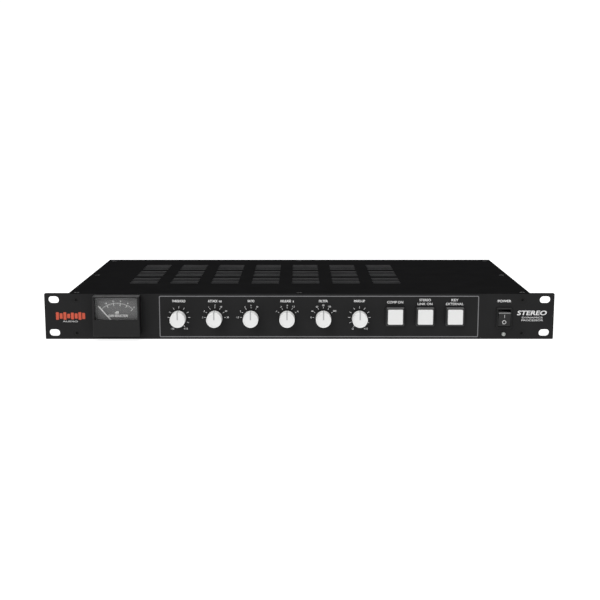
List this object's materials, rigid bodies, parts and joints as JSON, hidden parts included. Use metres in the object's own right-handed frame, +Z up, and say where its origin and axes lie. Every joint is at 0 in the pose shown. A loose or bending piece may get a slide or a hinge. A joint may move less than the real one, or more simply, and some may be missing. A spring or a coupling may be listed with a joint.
{
  "type": "rack compressor",
  "caption": "One-unit rack audio compressor: black panel with moving-coil meter, white knobs and push buttons, mains rocker, vented case and rear sockets.",
  "frame": {"origin": "centre of the four rack slots, in the plane of the panel ears' rear face", "axes": "+X to the right and +Z up as seen from the front, +Y towards the back"},
  "size_m": [0.4826, 0.2575, 0.044],
  "materials": {
    "panel_black": "black, fine satin texture",
    "case_black": "black powder coat",
    "screw_black": "blackened steel",
    "nut_black": "blackened",
    "control_metal": "plain",
    "control_plastic": "moulded",
    "circuit_board": "solder mask",
    "bezel_black": "moulded satin",
    "rocker_black": "moulded semi-gloss",
    "lamp_lens": "clear lens",
    "meter_black": "moulded",
    "meter_glass": "clear polished",
    "dial_face": "printed card",
    "needle": "painted",
    "connector_metal": "nickel plated",
    "connector_plastic": "moulded",
    "contact_metal": "plated",
    "screw_steel": "zinc plated",
    "support_plastic": "moulded nylon",
    "transformer_tape": "polyester tape",
    "transformer_plate": "plain",
    "screening_can": "drawn can",
    "capacitor_sleeve": "shrink sleeve",
    "heatsink_metal": "black anodised",
    "ribbon": "grey ribbon",
    "lead_sleeve": "braided sleeve",
    "knob_white": "moulded satin",
    "shaft_steel": "turned",
    "button_white": "moulded satin",
    "spring_steel": "drawn wire",
    "latch_metal": "nickel plated"
  },
  "bodies": {
    "chassis": {"front_panel": "panel_black", "case_frame": "case_black", "case_floor": "case_black", "rear_panel": "case_black", "top_cover": "case_black", "case_screws": "screw_black", "control_nuts": "nut_black", "potentiometers": "control_metal", "rotary_switches": "control_plastic", "control_board": "circuit_board", "button_bezels": "bezel_black", "button_switches": "control_plastic", "power_switch_housing": "bezel_black", "power_led": "lamp_lens", "meter_housing": "meter_black", "meter_window": "meter_glass", "meter_dial": "dial_face", "meter_movement": "control_plastic", "input_sockets": "connector_metal", "input_inserts": "connector_plastic", "output_sockets": "connector_metal", "sidechain_jacks": "connector_plastic", "mains_inlet": "connector_plastic", "rear_contacts": "contact_metal", "rear_screws": "screw_steel", "main_board": "circuit_board", "board_standoffs": "support_plastic", "power_transformer": "transformer_tape", "transformer_mount": "transformer_plate", "output_transformers": "screening_can", "capacitors": "capacitor_sleeve", "heatsinks": "heatsink_metal", "ribbon_cable": "ribbon", "mains_leads": "lead_sleeve", "button_spring_1": "spring_steel", "button_spring_2": "spring_steel", "button_spring_3": "spring_steel"},
    "knob_1": {"knob_1": "knob_white", "shaft_1": "shaft_steel"},
    "knob_2": {"knob_2": "knob_white", "shaft_2": "shaft_steel"},
    "knob_3": {"knob_3": "knob_white", "shaft_3": "shaft_steel"},
    "knob_4": {"knob_4": "knob_white", "shaft_4": "shaft_steel"},
    "knob_5": {"knob_5": "knob_white", "shaft_5": "shaft_steel"},
    "knob_6": {"knob_6": "knob_white", "shaft_6": "shaft_steel"},
    "button_1": {"button_cap_1": "button_white", "button_plunger_1": "control_plastic"},
    "button_2": {"button_cap_2": "button_white", "button_plunger_2": "control_plastic"},
    "button_3": {"button_cap_3": "button_white", "button_plunger_3": "control_plastic"},
    "rocker": {"power_rocker": "rocker_black"},
    "needle": {"meter_needle": "needle"},
    "latch_left": {"latch_left": "latch_metal"},
    "latch_right": {"latch_right": "latch_metal"},
    "fuse_drawer": {"fuse_drawer": "connector_plastic"}
  },
  "joints": [
    {"name": "knob_1_turn", "type": "hinge", "parent": "chassis", "child": "knob_1", "pos_m": [-0.11415, -0.01, -0.001], "axis": [0, 1, 0], "range_deg": [-150, 150]},
    {"name": "knob_2_turn", "type": "hinge", "parent": "chassis", "child": "knob_2", "pos_m": [-0.07995, -0.01, -0.001], "axis": [0, 1, 0], "range_deg": [-90, 90]},
    {"name": "knob_3_turn", "type": "hinge", "parent": "chassis", "child": "knob_3", "pos_m": [-0.04575, -0.01, -0.001], "axis": [0, 1, 0], "range_deg": [-90, 30]},
    {"name": "knob_4_turn", "type": "hinge", "parent": "chassis", "child": "knob_4", "pos_m": [-0.01155, -0.01, -0.001], "axis": [0, 1, 0], "range_deg": [-60, 60]},
    {"name": "knob_5_turn", "type": "hinge", "parent": "chassis", "child": "knob_5", "pos_m": [0.02265, -0.01, -0.001], "axis": [0, 1, 0], "range_deg": [-90, 60]},
    {"name": "knob_6_turn", "type": "hinge", "parent": "chassis", "child": "knob_6", "pos_m": [0.05685, -0.01, -0.001], "axis": [0, 1, 0], "range_deg": [-150, 150]},
    {"name": "button_1_press", "type": "slide", "parent": "chassis", "child": "button_1", "axis": [0, 1, 0], "range_m": [0, 0.003], "stiffness_N_per_m": 500, "springref_m": -0.001, "deforming": ["button_spring_1"]},
    {"name": "button_2_press", "type": "slide", "parent": "chassis", "child": "button_2", "axis": [0, 1, 0], "range_m": [0, 0.003], "stiffness_N_per_m": 500, "springref_m": -0.001, "deforming": ["button_spring_2"]},
    {"name": "button_3_press", "type": "slide", "parent": "chassis", "child": "button_3", "axis": [0, 1, 0], "range_m": [0, 0.003], "stiffness_N_per_m": 500, "springref_m": -0.001, "deforming": ["button_spring_3"]},
    {"name": "rocker_tilt", "type": "hinge", "parent": "chassis", "child": "rocker", "pos_m": [0.194, 0.0025, -0.0016], "axis": [1, 0, 0], "range_deg": [-18, 0]},
    {"name": "needle_swing", "type": "hinge", "parent": "chassis", "child": "needle", "pos_m": [-0.17185, -0.0093, -0.009], "axis": [0, 1, 0], "range_deg": [0, 82], "stiffness_Nm_per_rad": 0.0001, "springref_deg": -11.46},
    {"name": "latch_left_press", "type": "slide", "parent": "chassis", "child": "latch_left", "axis": [0, -1, 0], "range_m": [0, 0.002], "stiffness_N_per_m": 400, "springref_m": -0.001},
    {"name": "latch_right_press", "type": "slide", "parent": "chassis", "child": "latch_right", "axis": [0, -1, 0], "range_m": [0, 0.002], "stiffness_N_per_m": 400, "springref_m": -0.001},
    {"name": "fuse_drawer_slide", "type": "slide", "parent": "chassis", "child": "fuse_drawer", "axis": [0, 1, 0], "range_m": [0, 0.018]}
  ]
}
